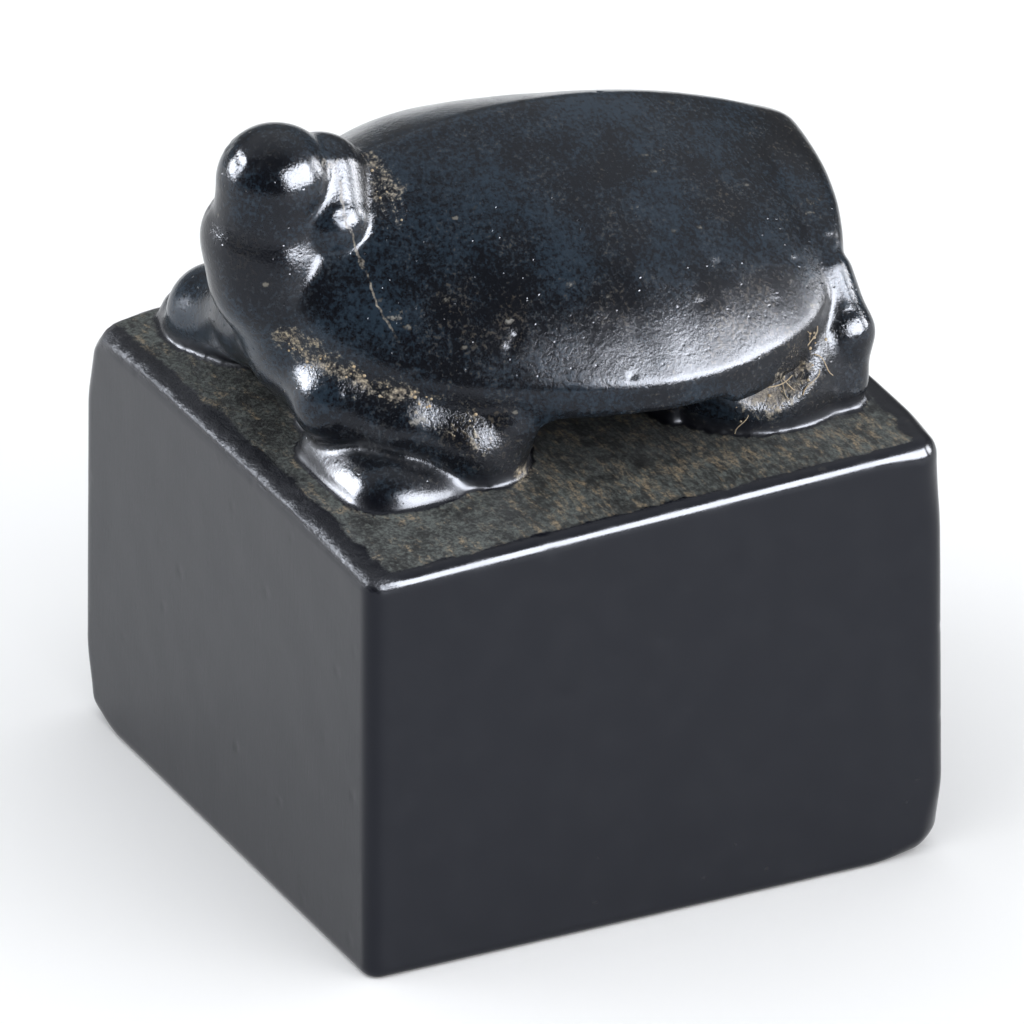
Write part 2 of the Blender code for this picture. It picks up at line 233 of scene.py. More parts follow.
def trim(a, b, reach):
    """What two forms have in common, with the edge between them rounded."""
    return a.math("SMOOTH_MAX", b, reach)


def length(*parts):
    total = parts[0] * parts[0]
    for part in parts[1:]:
        total = part.math("MULTIPLY_ADD", part, total)
    return total.math("SQRT")


def step(value, start, end):
    """0 below start, 1 above end, with a smooth rise between them."""
    t = smaller(larger((value - start) / (end - start), 0.0), 1.0)
    return t * t * (t * -2.0 + 3.0)


def ellipsoid(x, y, z, centre, half):
    """Distance to an ellipsoid, true at its surface."""
    q = [axis - c for axis, c in zip((x, y, z), centre)]
    size = length(*[part / h for part, h in zip(q, half)])
    slope = length(*[part / (h * h) for part, h in zip(q, half)])
    return size * (size - 1.0) / larger(slope, 1.0)


def limb(x, y, z, balls, reach):
    """Distance to a limb run through a row of balls, each given as x, y, z and radius."""
    whole = None
    for start, end in zip(balls, balls[1:]):
        run = [b - a for a, b in zip(start[:3], end[:3])]
        square = sum(part * part for part in run)
        q = [axis - a for axis, a in zip((x, y, z), start)]
        share = (q[0] * run[0] + q[1] * run[1] + q[2] * run[2]) / square
        share = smaller(larger(share, 0.0), 1.0)
        off = length(*[part - share * r for part, r in zip(q, run)])
        piece = off - (share * (end[3] - start[3]) + start[3])
        whole = piece if whole is None else blend(whole, piece, reach)
    return whole


def rounded(side, top, radius):
    """A wall and a lid brought together over an edge of one radius."""
    side, top = side + radius, top + radius
    outside = length(larger(side, 0.0), larger(top, 0.0))
    return outside + smaller(larger(side, top), 0.0) - radius


def ground(x, y):
    """How far the block's top lies above its front edge."""
    rise = (BLOCK_REAR_HEIGHT - BLOCK_FRONT_HEIGHT) / BLOCK_DEPTH
    crown = (-((abs(x) / (BLOCK_WIDTH / 2)) ** 4.0) + 1.0) * BLOCK_CROWN
    return (y + BLOCK_DEPTH / 2) * rise + crown


def block(x, y, z):
    shrink = z * (BLOCK_DRAW_IN / BLOCK_FRONT_HEIGHT)
    beside = step(abs(x), BLOCK_WIDTH / 2 - CORNER_WEAR_REACH, BLOCK_WIDTH / 2)
    corner = step(abs(y), BLOCK_DEPTH / 2 - CORNER_WEAR_REACH, BLOCK_DEPTH / 2) * beside
    kept = step(x, -WEAR_BAND, WEAR_BAND) * step(-y, -WEAR_BAND, WEAR_BAND)
    right = step(-x, -WEAR_BAND, WEAR_BAND) * (1.0 - LEFT_WEAR_SHARE) + LEFT_WEAR_SHARE
    low = corner * (-kept + 1.0) * (-step(z, 0.0, CORNER_WEAR_REACH) + 1.0) * CORNER_WEAR
    high = step(z, BLOCK_FRONT_HEIGHT - CORNER_WEAR_REACH, BLOCK_FRONT_HEIGHT)
    high = corner * right * (-kept + 1.0) * high * CORNER_WEAR
    radius = low + high + CORNER_RADIUS
    across = abs(x) - BLOCK_WIDTH / 2 + shrink + radius
    along = abs(y) - BLOCK_DEPTH / 2 + shrink + radius
    side = length(larger(across, 0.0), larger(along, 0.0)) + smaller(larger(across, along), 0.0) - radius
    upper = rounded(side, z - BLOCK_FRONT_HEIGHT - ground(x, y), high + TOP_EDGE_RADIUS)
    lower = rounded(side, -z, low + FOOT_EDGE_RADIUS)
    return larger(upper, lower)


def shell_shares(x, y):
    """How far a point lies across and along the shell, as shares of its outline, and the outline's power."""
    rear = step(y, SHELL_Y - SHELL_TURN, SHELL_Y + SHELL_TURN)
    power = rear * (SHELL_REAR_POWER - SHELL_FRONT_POWER) + SHELL_FRONT_POWER
    along = larger((y - SHELL_Y) / SHELL_REAR_LENGTH, -(y - SHELL_Y) / SHELL_FRONT_LENGTH)
    return abs(x) / SHELL_HALF_WIDTH, along, power


def shell_plan(x, y):
    """Distance, seen from above, from the shell's outline."""
    across, along, power = shell_shares(x, y)
    size = (across ** power + along ** power) ** power.math("POWER", -1.0)
    less = power - 1.0
    slope = length(across ** less / SHELL_HALF_WIDTH, along ** less / SHELL_REAR_LENGTH)
    slope = larger(slope / larger(size ** less, 0.05), 0.02 / T)
    return (size - 1.0) / slope


def rim_height(y):
    rear = step(y, SHELL_Y, SHELL_Y + SHELL_REAR_LENGTH * 1.2) * RIM_REAR_RISE
    share = (-y - RIM_FRONT_RISE_FROM) / (SHELL_FRONT_LENGTH - SHELL_Y - RIM_FRONT_RISE_FROM)
    front = smaller(larger(share, 0.0), 1.0) ** 3 * RIM_FRONT_RISE
    return rear + front + RIM_HEIGHT


def shell(x, y, z):
    plan = shell_plan(x, y)
    rise = z - rim_height(y)
    along, power = shell_shares(x, y)[1:]
    rear = step(y, -SHELL_Y * 2, SHELL_Y * 2)
    along = smaller(along, rear * (SHELL_REAR_FULL_TO - 0.97) + 0.97)
    reach = (-(along ** power) + 1.0) ** power.math("POWER", -1.0) * SHELL_HALF_WIDTH
    beside = (x * x + KEEL_SOFTNESS ** 2).math("SQRT") - KEEL_SOFTNESS
    share = smaller(beside / reach, 1.15)
    from_top = y - KEEL_Y
    crown = -(from_top * from_top * KEEL_FALL) + KEEL_HEIGHT - rim_height(y)
    right = rear * (RIGHT_LEAN_REAR - RIGHT_LEAN_FRONT) + RIGHT_LEAN_FRONT
    lean = step(-x, -KEEL_SOFTNESS, KEEL_SOFTNESS) * (right - LEFT_LEAN) + LEFT_LEAN
    fall = share * (share * FLANK_CURVE + lean)
    fall = fall + share ** FLANK_END_POWER * (-lean + 1.0 - FLANK_CURVE)
    slope = share ** (FLANK_END_POWER - 1.0) * 1.5 + 1.1
    end = step(y, SHELL_END_FROM, SHELL_Y + SHELL_REAR_LENGTH) * (SHELL_END_RADIUS - SHELL_SIDE_RADIUS)
    roof = trim((rise - crown * (-fall + 1.0)) / slope, plan, end + SHELL_SIDE_RADIUS)
    under = (plan - rise * RIM_UNDERCUT) / (1.0 + RIM_UNDERCUT ** 2) ** 0.5
    edge = trim(roof, under, RIM_RADIUS)
    return trim(edge, -rise - RIM_BAND, RIM_RADIUS)





def head_and_neck(x, y, z):
    neck = limb(x, y, z, (HEAD, JAW, NAPE), HOLLOW)
    throat = ellipsoid(x, y, z, THROAT, THROAT_HALF)
    chest = limb(x, y, z, (CHEST_TOP, CHEST_FOOT), HOLLOW)
    body = blend(neck, blend(throat, chest, FILLET), CREASE)
    return blend(body, limb(abs(x), y, z, COLLAR, HOLLOW), CREASE)


def front_leg(x, y, z, arm, web, foot, toes):
    pad = ellipsoid(x, y, z, foot + (FRONT_FOOT_LIFT,), FRONT_FOOT_HALF)
    paw = blend(pad, limb(x, y, z, toes, HOLLOW), FILLET)
    upper = blend(limb(x, y, z, arm, FILLET), limb(x, y, z, web, HOLLOW), HOLLOW)
    return blend(upper, paw, HOLLOW)


def hind_leg(side, y, z):
    level = (BLOCK_REAR_HEIGHT - BLOCK_FRONT_HEIGHT + HIND_FOOT_LIFT,)
    dished = trim(ellipsoid(side, y, z, THIGH, THIGH_HALF), -ellipsoid(side, y, z, DISH, DISH_HALF), HOLLOW)
    foot = ellipsoid(side, y, z, HIND_FOOT + level, HIND_FOOT_HALF)
    return blend(blend(dished, limb(side, y, z, HEEL, HOLLOW), HOLLOW), foot, FILLET)


def belly(x, y, z):
    plan = ellipsoid(x, y, z * 0.0, (0.0, BELLY_Y, 0.0), (BELLY_HALF_WIDTH, BELLY_HALF_LENGTH, T))
    body = larger(larger(plan, z - rim_height(y) - RIM_BAND), -z - BLOCK_FRONT_HEIGHT / 2)
    return blend(body, ellipsoid(x, y, z, BREAST, BREAST_HALF), HOLLOW)


def tunnel(x, y, z):
    half = abs(x) / BELLY_HALF_WIDTH
    half = half * half * TUNNEL_MOUTH_FLARE + TUNNEL_HALF_WIDTH
    across = abs(y - TUNNEL_Y) - half
    up = abs(z - ground(x, y)) - TUNNEL_HEIGHT
    return rounded(across, up, TUNNEL_RADIUS)


def turtle(x, y, z):
    front = head_and_neck(x, y, z)
    front = blend(front, front_leg(x, y, z, LEFT_ARM, LEFT_WEB, LEFT_FOOT, LEFT_TOES), SHOULDER_FILLET)
    front = blend(front, front_leg(x, y, z, RIGHT_ARM, RIGHT_WEB, RIGHT_FOOT, RIGHT_TOES), SHOULDER_FILLET)
    body = blend(shell(x, y, z), front, CREASE)
    body = blend(body, hind_leg(abs(x), y, z), CREASE)
    body = blend(body, belly(x, y, z), CREASE)
    return trim(body, -tunnel(x, y, z), TUNNEL_EDGE)


def seal(x, y, z):
    """Distance from the whole stone's surface: negative inside, positive outside."""
    return blend(block(x, y, z), turtle(x, y, z - BLOCK_FRONT_HEIGHT), GROUND_FILLET)


def distance_group():
    """Node group: point in, distance from the seal's surface out."""
    tree = bpy.data.node_groups.new("seal distance", "GeometryNodeTree")
    tree.interface.new_socket(name="Point", in_out="INPUT", socket_type="NodeSocketVector")
    tree.interface.new_socket(name="Distance", in_out="OUTPUT", socket_type="NodeSocketFloat")
    entry = tree.nodes.new("NodeGroupInput")
    split = tree.nodes.new("ShaderNodeSeparateXYZ")
    tree.links.new(entry.outputs["Point"], split.inputs[0])
    x, y, z = (Field(tree, split.outputs[axis]) for axis in "XYZ")
    leave = tree.nodes.new("NodeGroupOutput")
    tree.links.new(seal(x, y, z).socket, leave.inputs["Distance"])
    return tree


# Relief finer than the form: how uneven the hand left it, pits, chipped edges and the crack on the neck.
GRID = 0.34 * MM
GRID_MARGIN = 1.0 * MM
UNEVEN = 0.035 * MM
UNEVEN_SIZE = 2.6 * MM
PIT_SPACING = 1.15 * MM
PIT_DEPTH = 0.07 * MM
CHIP_DEPTH = 0.17 * MM
CHIP_SIZE = 0.9 * MM
GROUND_ROUGHNESS = 0.03 * MM
GROUND_GRAIN = 0.5 * MM
FRONT_EDGE_ROUGHNESS = 0.11 * MM
CRACK_WIDTH = 0.045 * MM
CRACK_WANDER = 0.5 * MM
# The crack runs down the collar and the shell's front. Its split goes straight into the stone, so it is given
# flat, as places (across, up) on a sheet held square to it.
CRACK_ACROSS = (0.44, 0.90, 0.0)
CRACK_UP = (-0.40, 0.20, 0.90)
CRACK = (
    (-3.78 * MM, 14.9 * MM),
    (-4.46 * MM, 16.3 * MM),
    (-5.00 * MM, 17.5 * MM),
    (-5.64 * MM, 19.3 * MM),
    (-6.02 * MM, 21.8 * MM),
)
HOLLOW_REACH = 0.7 * MM
EDGE_REACH = 0.5 * MM
BARE_EDGE = 0.5 * MM
EDGE_RUB = 0.05 * MM
MOST_TRIANGLES = 190000

# Where burial dirt still clings, as runs of balls (x, y, z, radius): under the rim along the left arm,
# behind the collar, in the haunch's dish and round the foot of the elbow.
DIRT = (
    (
        (2.4 * MM, -9.5 * MM, 20.0 * MM, 0.7 * MM),
        (3.7 * MM, -8.7 * MM, 19.2 * MM, 0.7 * MM),
        (5.3 * MM, -6.9 * MM, 18.8 * MM, 0.6 * MM),
        (6.5 * MM, -5.4 * MM, 18.2 * MM, 0.7 * MM),
        (7.4 * MM, -4.7 * MM, 17.3 * MM, 0.7 * MM),
    ),
    ((0.4 * MM, -5.7 * MM, 25.2 * MM, 0.5 * MM), (2.1 * MM, -5.6 * MM, 24.1 * MM, 0.8 * MM)),
    (
        (8.3 * MM, 8.4 * MM, 19.3 * MM, 0.5 * MM),
        (8.4 * MM, 6.9 * MM, 18.3 * MM, 1.1 * MM),
        (8.5 * MM, 5.9 * MM, 17.5 * MM, 1.0 * MM),
        (8.2 * MM, 4.9 * MM, 16.7 * MM, 0.6 * MM),
    ),
    ((7.2 * MM, -3.2 * MM, 15.9 * MM, 0.4 * MM), (7.0 * MM, -2.6 * MM, 15.5 * MM, 0.3 * MM)),
)


def node(tree, kind, **settings):
    made = tree.nodes.new(kind)
    for name, value in settings.items():
        setattr(made, name, value)
    return made


def feed(tree, socket, value):
    """Sets a node's input to a number, or to another node's output."""
    if isinstance(value, Field):
        value = value.socket
    if isinstance(value, bpy.types.NodeSocket):
        tree.links.new(value, socket)
    else:
        socket.default_value = value


def vector_math(tree, operation, a, b=None, scale=None):
    made = node(tree, "ShaderNodeVectorMath", operation=operation)
    feed(tree, made.inputs[0], a)
    if b is not None:
        feed(tree, made.inputs[1], b)
    if scale is not None:
        feed(tree, made.inputs["Scale"], scale)
    return made.outputs["Vector"]


def noise(tree, point, size, detail=3.0, shift=(0.0, 0.0, 0.0), roughness=0.55):
    """Noise whose lumps are about as wide as size, from 0 to 1."""
    made = node(tree, "ShaderNodeTexNoise", noise_dimensions="3D")
    feed(tree, made.inputs["Vector"], vector_math(tree, "ADD", point, shift))
    made.inputs["Scale"].default_value = 1.0 / size
    made.inputs["Detail"].default_value = detail
    made.inputs["Roughness"].default_value = roughness
    return Field(tree, made.outputs["Fac"])


def cells(tree, point, size, shift=(0.0, 0.0, 0.0)):
    """Cells about as wide as size: how far the nearest cell's centre is, in metres, and its own chance."""
    made = node(tree, "ShaderNodeTexVoronoi", voronoi_dimensions="3D", feature="F1")
    feed(tree, made.inputs["Vector"], vector_math(tree, "ADD", point, shift))
    made.inputs["Scale"].default_value = 1.0 / size
    split = node(tree, "ShaderNodeSeparateXYZ")
    tree.links.new(made.outputs["Color"], split.inputs[0])
    return Field(tree, made.outputs["Distance"]) * size, Field(tree, split.outputs[0])


def store(tree, geometry, name, value):
    made = node(tree, "GeometryNodeStoreNamedAttribute", data_type="FLOAT", domain="POINT")
    tree.links.new(geometry, made.inputs["Geometry"])
    made.inputs["Name"].default_value = name
    feed(tree, made.inputs["Value"], value)
    return made.outputs["Geometry"]


def moved(tree, geometry, offset):
    made = node(tree, "GeometryNodeSetPosition")
    tree.links.new(geometry, made.inputs["Geometry"])
    tree.links.new(offset, made.inputs["Offset"])
    return made.outputs["Geometry"]


def stone_tree(material):
    """Node group: draws the seal's surface, brings it onto the true form and cuts the fine relief."""
    tree = bpy.data.node_groups.new("carved stone", "GeometryNodeTree")
    tree.interface.new_socket(name="Geometry", in_out="OUTPUT", socket_type="NodeSocketGeometry")
    sizes = (("Grid", GRID), ("Unevenness", UNEVEN), ("Pit depth", PIT_DEPTH), ("Chip depth", CHIP_DEPTH))
    for name, value in sizes:
        socket = tree.interface.new_socket(name=name, in_out="INPUT", socket_type="NodeSocketFloat")
        socket.default_value = value
    entry = node(tree, "NodeGroupInput")
    form = distance_group()

    def distance(point):
        made = node(tree, "GeometryNodeGroup")
        made.node_tree = form
        tree.links.new(point, made.inputs["Point"])
        return Field(tree, made.outputs["Distance"])

    position = node(tree, "GeometryNodeInputPosition").outputs[0]
    normal = node(tree, "GeometryNodeInputNormal").outputs[0]
    space = node(tree, "GeometryNodeVolumeCube")
    top = BLOCK_FRONT_HEIGHT + max(HEAD[2] + HEAD[3], KEEL_HEIGHT)
    low = (-BLOCK_WIDTH / 2 - GRID_MARGIN, -BLOCK_DEPTH / 2 - GRID_MARGIN, -GRID_MARGIN)
    high = (BLOCK_WIDTH / 2 + GRID_MARGIN, BLOCK_DEPTH / 2 + GRID_MARGIN, top + GRID_MARGIN)
    space.inputs["Min"].default_value = low
    space.inputs["Max"].default_value = high
    space.inputs["Background"].default_value = GRID_MARGIN
    for axis, a, b in zip("XYZ", low, high):
        count = (Field(tree, entry.outputs["Grid"]) * 0.0 + (b - a)) / Field(tree, entry.outputs["Grid"])
        tree.links.new(count.math("ROUND").socket, space.inputs["Resolution " + axis])
    tree.links.new(distance(position).socket, space.inputs["Density"])
    skin = node(tree, "GeometryNodeVolumeToMesh")
    skin.inputs["Threshold"].default_value = 0.0
    tree.links.new(space.outputs[0], skin.inputs["Volume"])
    flip = node(tree, "GeometryNodeFlipFaces")
    tree.links.new(skin.outputs["Mesh"], flip.inputs[0])
    finer = node(tree, "GeometryNodeSubdivideMesh")
    finer.inputs["Level"].default_value = 1
    tree.links.new(flip.outputs[0], finer.inputs[0])
    surface = finer.outputs[0]
    for _ in range(3):
        surface = moved(tree, surface, vector_math(tree, "SCALE", normal, scale=-distance(position)))

    split = node(tree, "ShaderNodeSeparateXYZ")
    tree.links.new(position, split.inputs[0])
    x, y, z = (Field(tree, split.outputs[axis]) for axis in "XYZ")
    facing = node(tree, "ShaderNodeSeparateXYZ")
    tree.links.new(normal, facing.inputs[0])
    upward = Field(tree, facing.outputs["Z"])
    outside = vector_math(tree, "ADD", position, vector_math(tree, "SCALE", normal, scale=HOLLOW_REACH))
    inside = vector_math(tree, "SUBTRACT", position, vector_math(tree, "SCALE", normal, scale=EDGE_REACH))
    hollow = -(distance(outside) / HOLLOW_REACH) + 1.0
    edge = distance(inside) / EDGE_REACH + 1.0
    height = z - BLOCK_FRONT_HEIGHT - ground(x, y)
    level = -step(abs(height), 0.25 * MM, 0.6 * MM) + 1.0
    top_face = level * step(upward, 0.75, 0.95)
    turtle_share = step(height, 0.1 * MM, 0.8 * MM)
    surface = store(tree, surface, "hollow", smaller(larger(hollow, 0.0), 1.0))
    surface = store(tree, surface, "edge", smaller(larger(edge, 0.0), 1.0))
    surface = store(tree, surface, "top_face", top_face)
    surface = store(tree, surface, "turtle", turtle_share)
    surface = store(tree, surface, "broad", noise(tree, position, 4.5 * MM, 2.0))
    surface = store(tree, surface, "middling", noise(tree, position, 1.2 * MM, 3.0, (0.2, 0.0, 0.0), 0.6))
    inner = smaller(-abs(x) + BLOCK_WIDTH / 2, (-abs(y) + BLOCK_DEPTH / 2) * 0.6)
    inner = inner + (noise(tree, position, 1.2 * MM, 3.0, (0.0, 0.0, 0.23)) - 0.5) * 0.7 * MM
    surface = store(tree, surface, "crust", top_face * step(inner, BARE_EDGE, BARE_EDGE * 1.6))
    dirt = None
    for run in DIRT:
        near = limb(x, y, z, run, 0.1 * MM)
        dirt = near if dirt is None else smaller(dirt, near)
    dirt = -step(dirt, -0.5 * MM, 0.6 * MM) + 1.0
    surface = store(tree, surface, "dirt", dirt)

    across, up = (x * d[0] + y * d[1] + z * d[2] for d in (CRACK_ACROSS, CRACK_UP))
    path = up * 0.0 + CRACK[0][0]
    for (start, low), (end, high) in zip(CRACK, CRACK[1:]):
        path = path + smaller(larger((up - low) / (high - low), 0.0), 1.0) * (end - start)
    wander = (noise(tree, position, 0.6 * MM, 2.0) - 0.5) * CRACK_WANDER
    surface = store(tree, surface, "crack", smaller(larger(across - path + wander, -MM), MM))
    reach = step(up, CRACK[0][1], CRACK[0][1] + MM) * (-step(up, CRACK[-1][1] - MM, CRACK[-1][1]) + 1.0)
    surface = store(tree, surface, "crack_reach", reach * step(x, 0.0, 0.5 * MM))

    uneven = (noise(tree, position, UNEVEN_SIZE, 1.0) - 0.5) * 2.0 * (turtle_share * 0.7 + 0.3)
    relief = uneven * Field(tree, entry.outputs["Unevenness"])
    far, chance = cells(tree, position, PIT_SPACING)
    radius = chance * chance * 0.24 * MM + 0.05 * MM
    pit = (-step(far, radius * 0.2, radius) + 1.0) * step(chance, 0.35, 0.55)
    relief = relief - pit * Field(tree, entry.outputs["Pit depth"]) * (turtle_share * 0.7 + 0.3)
    chip = step(noise(tree, position, CHIP_SIZE, 3.0, (0.31, 0.0, 0.0)), 0.56, 0.66) * step(edge, 0.25, 0.5)
    relief = relief - chip * Field(tree, entry.outputs["Chip depth"]) * (-turtle_share * 0.8 + 1.0)
    along_x = vector_math(tree, "MULTIPLY", position, (0.25, 1.0, 1.0))
    rough = (noise(tree, along_x, GROUND_GRAIN, 3.0, (0.0, 0.17, 0.0)) - 0.5) * 2.0 * GROUND_ROUGHNESS
    relief = relief + rough * top_face
    granular = (noise(tree, position, 0.4 * MM, 2.0, (0.0, 0.0, 0.61)) - 0.5) * 2.0 * FRONT_EDGE_ROUGHNESS
    front_edge = -step(y + BLOCK_DEPTH / 2, 0.7 * MM, 1.6 * MM) + 1.0
    front_edge = front_edge * step(upward, 0.3, 0.7) * step(height, -0.6 * MM, -0.3 * MM)
    surface = store(tree, surface, "front_edge", front_edge * (-turtle_share + 1.0))
    relief = relief + granular * front_edge
    relief = relief - step(edge, 0.25, 0.6) * (-turtle_share + 1.0) * EDGE_RUB
    relief = relief * step(z, 0.2 * MM, 0.8 * MM) - 0.02 * MM
    surface = moved(tree, surface, vector_math(tree, "SCALE", normal, scale=relief))
    paint = node(tree, "GeometryNodeSetMaterial")
    paint.inputs["Material"].default_value = material
    tree.links.new(surface, paint.inputs["Geometry"])
    leave = node(tree, "NodeGroupOutput")
    real = node(tree, "GeometryNodeRealizeInstances")
    tree.links.new(paint.outputs[0], real.inputs[0])
    tree.links.new(real.outputs[0], leave.inputs[0])
    return tree


# Colours of the stone's skin: black stone with a bluish and a brownish bloom, the streaky crust on the
# block's top and the buff dirt in the hollows.
BLACK = (0.0048, 0.0056, 0.0080, 1.0)
FACE_BLACK = (0.0036, 0.0040, 0.0075, 1.0)
BLUE_BLOOM = (0.0180, 0.0310, 0.0470, 1.0)
BROWN_BLOOM = (0.0750, 0.0600, 0.0420, 1.0)
CRUST_DARK = (0.016, 0.016, 0.013, 1.0)
CRUST_GREEN = (0.098, 0.110, 0.100, 1.0)
CRUST_TAN = (0.270, 0.205, 0.125, 1.0)
DIRT_DARK = (0.13, 0.10, 0.065, 1.0)
DIRT_PALE = (0.50, 0.42, 0.29, 1.0)
SPECK = (0.22, 0.20, 0.16, 1.0)


def stone_skin():
    skin = bpy.data.materials.new("black stone")
    skin.use_nodes = True
    tree = skin.node_tree
    shader = tree.nodes["Principled BSDF"]
    point = node(tree, "ShaderNodeTexCoord").outputs["Object"]

    def share(name):
        return Field(tree, node(tree, "ShaderNodeAttribute", attribute_name=name).outputs["Fac"])

    def mixed(amount, a, b):
        made = node(tree, "ShaderNodeMix", data_type="RGBA")
        feed(tree, made.inputs["Factor"], amount)
        feed(tree, made.inputs[6], a)
        feed(tree, made.inputs[7], b)
        return made.outputs[2]

    hollow, edge, carved_part = (share(name) for name in ("hollow", "edge", "turtle"))
    crusted, clinging, front_edge = (share(name) for name in ("crust", "dirt", "front_edge"))
    broad, middling = share("broad"), share("middling")
    speckle = noise(tree, point, 0.32 * MM, 3.0, (0.0, 0.0, 0.5), 0.7)
    fine = noise(tree, point, 0.15 * MM, 3.0, (0.0, 0.3, 0.0), 0.7)
    finest = noise(tree, point, 0.07 * MM, 2.0, (0.4, 0.1, 0.0))
    part = node(tree, "ShaderNodeSeparateXYZ")
    tree.links.new(point, part.inputs[0])
    y = Field(tree, part.outputs["Y"])
    crack = abs(share("crack") + (fine - 0.5) * 0.12 * MM)
    crack = (-step(crack, CRACK_WIDTH * 0.5, CRACK_WIDTH * 1.3) + 1.0) * share("crack_reach")

    blue = step(speckle * 0.25 + fine * 0.55 + middling * 0.2 + (broad - 0.5) * 0.5, 0.44, 0.62)
    colour = mixed(carved_part, FACE_BLACK, BLACK)
    colour = mixed(blue * 0.9 * carved_part, colour, BLUE_BLOOM)
    brown = step(fine * 0.85 + middling * 0.25 - (broad - 0.5) * 0.4, 0.62, 0.76)
    behind_neck = step(y, -9.0 * MM, -5.0 * MM) * 0.8 + 0.2
    colour = mixed(brown * 0.65 * carved_part * behind_neck, colour, BROWN_BLOOM)

    drawn = vector_math(tree, "MULTIPLY", point, (0.30, 1.0, 1.0))
    streak = noise(tree, drawn, 0.12 * MM, 3.0, (0.0, 0.0, 0.7), 0.6)
    loosely = vector_math(tree, "MULTIPLY", point, (0.4, 1.0, 1.0))
    tan_streak = noise(tree, loosely, 0.35 * MM, 3.0, (0.3, 0.2, 0.0), 0.7)
    under_belly = step(y, -6.5 * MM, -2.5 * MM)
    streak = streak * under_belly + fine * (-under_belly + 1.0)
    laid = step(streak * 0.35 + speckle * 0.35 + middling * 0.3, 0.42, 0.58)
    laid = mixed(laid, CRUST_DARK, CRUST_GREEN)
    tan_share = step(tan_streak * 0.7 + middling * 0.3 + under_belly * 0.04, 0.51, 0.68)
    laid = mixed(tan_share * step(streak, 0.35, 0.6), laid, CRUST_TAN)
    laid = mixed(step(fine * 0.6 + finest * 0.4, 0.54, 0.44) * 0.6, laid, CRUST_DARK)
    crust = crusted * step(crusted * 0.50 + fine * 0.3 + middling * 0.45, 0.60, 0.84)
    colour = mixed(crust, colour, laid)

    lengthened = vector_math(tree, "MULTIPLY", point, (1.0, 0.55, 1.0))
    far, chance = cells(tree, lengthened, 0.7 * MM)
    speck = -step(far + (fine - 0.5) * 0.30 * MM, 0.02 * MM, chance * 0.09 * MM + 0.03 * MM) + 1.0
    speck = speck * step(chance, 0.50, 0.8) * step(middling, 0.42, 0.54) * (carved_part * 0.9 + 0.1)
    slanted = vector_math(tree, "MULTIPLY", point, (1.0, 0.45, 0.8))
    far, chance = cells(tree, slanted, 1.7 * MM, (0.0, 0.4, 0.1))
    fleck = -step(far + (speckle - 0.5) * 0.9 * MM + (fine - 0.5) * 0.5 * MM, 0.05 * MM, chance * 0.22 * MM + 0.02 * MM)
    speck = larger(speck, (fleck + 1.0) * step(chance, 0.35, 0.6) * step(fine, 0.35, 0.55) * carved_part)
    colour = mixed(speck * 0.75, colour, SPECK)
    grain = fine * 0.65 + finest * 0.35
    dirt = clinging * 0.42 + hollow * 0.20 + (middling - 0.5) * 1.3 + (speckle - 0.5) * 0.9 + (grain - 0.5) * 0.9
    dirt = step(dirt, 0.40, 0.72) * step(clinging * 1.4 + hollow, 0.25, 0.6) * (clinging * 0.7 + 0.3)
    dirt = larger(dirt, crack * step(speckle, 0.35, 0.60) * 0.65)
    colour = mixed(dirt * 0.85, colour, mixed(step(grain, 0.42, 0.66), DIRT_DARK, DIRT_PALE))
    feed(tree, shader.inputs["Base Color"], colour)

    rough = fine * 0.12 + step(middling, 0.35, 0.7) * 0.06 + 0.07
    rough = rough + (-carved_part + 1.0) * 0.05 - step(edge, 0.25, 0.6) * 0.03 + front_edge * 0.25
    rough = rough + larger(larger(dirt * 0.55, crust * 0.35), larger(speck * 0.35, hollow * 0.35))
    feed(tree, shader.inputs["Roughness"], smaller(rough, 1.0))
    shader.inputs["IOR"].default_value = 1.36
    shader.inputs["Specular Tint"].default_value = (0.84, 0.89, 1.0, 1.0)

    tiny_far, tiny_chance = cells(tree, point, 0.30 * MM, (0.1, 0.2, 0.0))
    tiny = (-step(tiny_far, 0.02 * MM, 0.07 * MM) + 1.0) * step(tiny_chance, 0.6, 0.9)
    rubbed = noise(tree, vector_math(tree, "MULTIPLY", point, (1.0, 1.0, 0.12)), 0.12 * MM, 3.0)
    height = (fine * 0.014 * MM + finest * 0.004 * MM + speckle * 0.014 * MM) * (carved_part * 0.8 + 0.2)
    height = height - tiny * 0.018 * MM * (carved_part * 0.85 + 0.15)
    height = height + rubbed * 0.003 * MM * (-carved_part + 1.0)
    height = height + clinging * grain * 0.05 * MM + crusted * (streak * 0.035 * MM + fine * 0.03 * MM)
    height = height + front_edge * (speckle * 0.10 * MM + fine * 0.04 * MM)
    bump = node(tree, "ShaderNodeBump")
    bump.inputs["Strength"].default_value = 0.7
    bump.inputs["Distance"].default_value = 1.0
    feed(tree, bump.inputs["Height"], height)
    tree.links.new(bump.outputs[0], shader.inputs["Normal"])
    return skin


